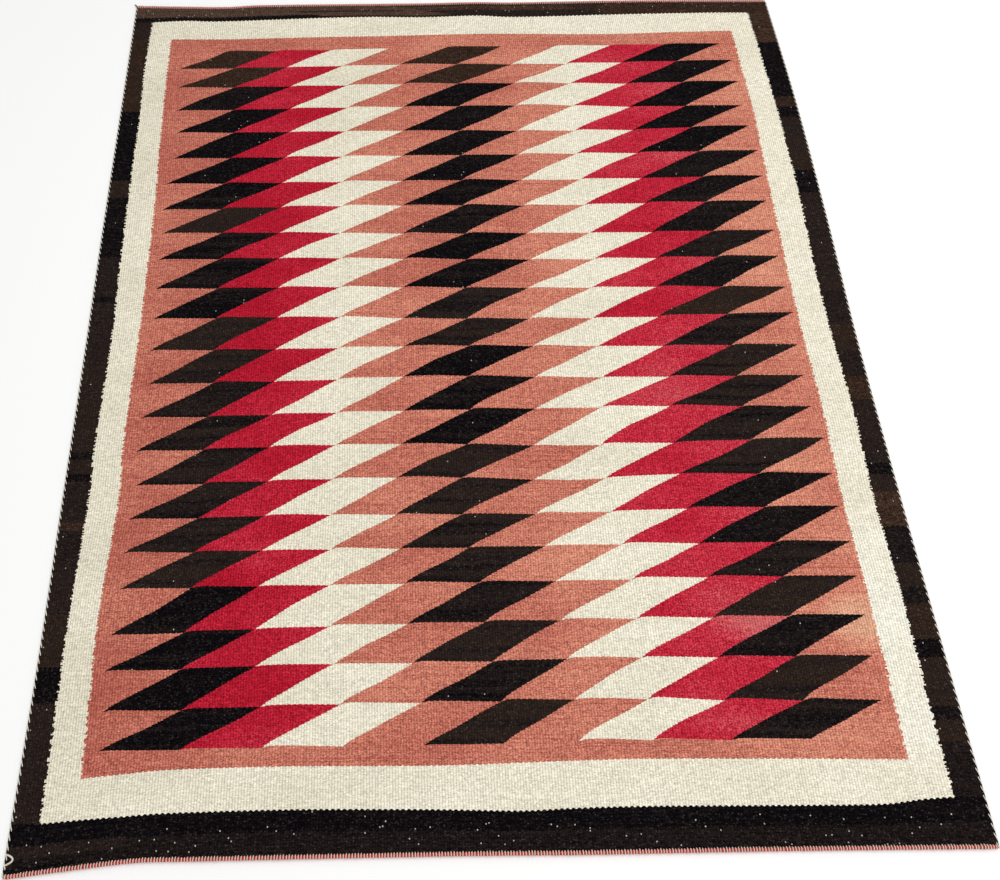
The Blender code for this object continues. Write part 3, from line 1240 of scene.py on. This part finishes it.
class RUG_OT_side_cords(bpy.types.Operator):
    """Wind the undyed strands along both sides"""

    bl_idname = "rug.side_cords"
    bl_label = "Wind Side Cords"

    def execute(self, context):
        sizes, colours = context.scene.rug_sizes, context.scene.rug_colours
        white = plied_wool(
            "white_cord_wool", colours.cord_white, colours.cord_white_groove_shade, ply_length=3.4)
        for side, name, node in ((LEFT, "wound_left_side", "side_cord_left"),
                                 (RIGHT, "wound_right_side", "side_cord_right")):
            obj = wind_side_cord(side, name, sizes, (white,))
            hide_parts(node)
            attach(obj, "root")
        return {"FINISHED"}


class RUG_OT_tuft(bpy.types.Operator):
    """Leave the dark yarn end at the far left corner"""

    bl_idname = "rug.tuft"
    bl_label = "Leave Yarn End"

    def execute(self, context):
        sizes, colours = context.scene.rug_sizes, context.scene.rug_colours
        # Its brown-black between the plies is painted shade.
        dark = plied_wool("dark_yarn_end", colours.brown, colours.brown_black, ply_length=3.0)
        obj = far_left_tuft(sizes, (dark,))
        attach(obj, "root")
        return {"FINISHED"}


class RUG_OT_cloth(bpy.types.Operator):
    bl_idname = "rug.cloth"
    bl_label = "Declare Cloth"

    def execute(self, context):
        return {"FINISHED"}


# The camera that took the photo, and the stage (metres, and the camera's turns in degrees).
CAMERA_PLACE = (-0.0856, -0.8664, 1.318)
CAMERA_TILT = math.radians(90 - 62.436)
CAMERA_HEADING = math.radians(-0.135)
CAMERA_ROLL = math.radians(-0.823)
CAMERA_SHIFT = 0.08
SENSOR_WIDTH, LENS_LENGTH = 36.0, 36.0
FLOOR_SIZE, FLOOR_LEVEL = 16.0, -0.0002
KEY_LIGHT_PLACE = (0.9, -0.1, 2.6)
KEY_LIGHT_SIZE = (3.0, 2.2)


def lay_floor(colour):
    deselect()
    bpy.ops.mesh.primitive_plane_add(size=FLOOR_SIZE, location=(0.0, 0.0, FLOOR_LEVEL))
    floor = bpy.context.active_object
    floor.name = "pale_floor"
    floor.data.materials.append(floor_paint(colour))
    return floor


def set_lights(scene, settings):
    """Even light from all around, and a large soft light above and to the right."""
    world = bpy.data.worlds.new("soft_light")
    world.use_nodes = True
    background = world.node_tree.nodes["Background"]
    background.inputs["Color"].default_value = (1.0, 1.0, 1.0, 1.0)
    background.inputs["Strength"].default_value = settings.ambient
    scene.world = world
    bpy.ops.object.light_add(type="AREA", location=KEY_LIGHT_PLACE)
    key = bpy.context.active_object
    key.data.shape = "RECTANGLE"
    key.data.size, key.data.size_y = KEY_LIGHT_SIZE
    key.data.energy = settings.key_power
    key.rotation_euler = (-key.location).to_track_quat("-Z", "Y").to_euler()


def set_camera(scene):
    bpy.ops.object.camera_add(location=CAMERA_PLACE)
    camera = bpy.context.active_object
    aim = Euler((CAMERA_TILT, 0.0, CAMERA_HEADING)).to_matrix()
    camera.rotation_euler = (aim @ Matrix.Rotation(CAMERA_ROLL, 3, "Z")).to_euler()
    camera.data.sensor_width = SENSOR_WIDTH
    camera.data.lens = LENS_LENGTH
    camera.data.shift_x = CAMERA_SHIFT
    scene.camera = camera


class RUG_OT_stage(bpy.types.Operator):
    """Set the pale floor, the soft lights and the camera"""

    bl_idname = "rug.stage"
    bl_label = "Set Stage"

    def execute(self, context):
        settings = context.scene.rug_stage
        floor = lay_floor(settings.floor)
        set_lights(context.scene, settings)
        set_camera(context.scene)
        context.scene.view_settings.view_transform = "Standard"
        return {"FINISHED"}


OPERATORS = (RUG_OT_web, RUG_OT_end_cords, RUG_OT_side_cords, RUG_OT_tuft, RUG_OT_cloth, RUG_OT_stage)
GROUPS = (("rug_sizes", RugSizes), ("rug_colours", RugColours), ("rug_stage", StageSettings))


class RUG_PT_panel(bpy.types.Panel):
    """Lists the steps and the values of the rug"""

    bl_idname = "RUG_PT_panel"
    bl_label = "Hand-woven Rug"
    bl_space_type = "VIEW_3D"
    bl_region_type = "UI"
    bl_category = "Rug"

    def draw(self, context):
        for operator in OPERATORS:
            self.layout.operator(operator.bl_idname)
        for name, group in GROUPS:
            box = self.layout.box()
            for prop in group.__annotations__:
                box.prop(getattr(context.scene, name), prop)


def register():
    for name, group in GROUPS:
        bpy.utils.register_class(group)
        setattr(bpy.types.Scene, name, bpy.props.PointerProperty(type=group))
    for operator in OPERATORS:
        bpy.utils.register_class(operator)
    bpy.utils.register_class(RUG_PT_panel)


def unregister():
    bpy.utils.unregister_class(RUG_PT_panel)
    for operator in reversed(OPERATORS):
        bpy.utils.unregister_class(operator)
    for name, group in reversed(GROUPS):
        delattr(bpy.types.Scene, name)
        bpy.utils.unregister_class(group)


def main():
    register()
    bpy.ops.rug.web()
    bpy.ops.rug.end_cords()
    bpy.ops.rug.side_cords()
    bpy.ops.rug.tuft()
    bpy.ops.rug.cloth()
    bpy.ops.rug.stage()


if __name__ == "__main__":
    main()
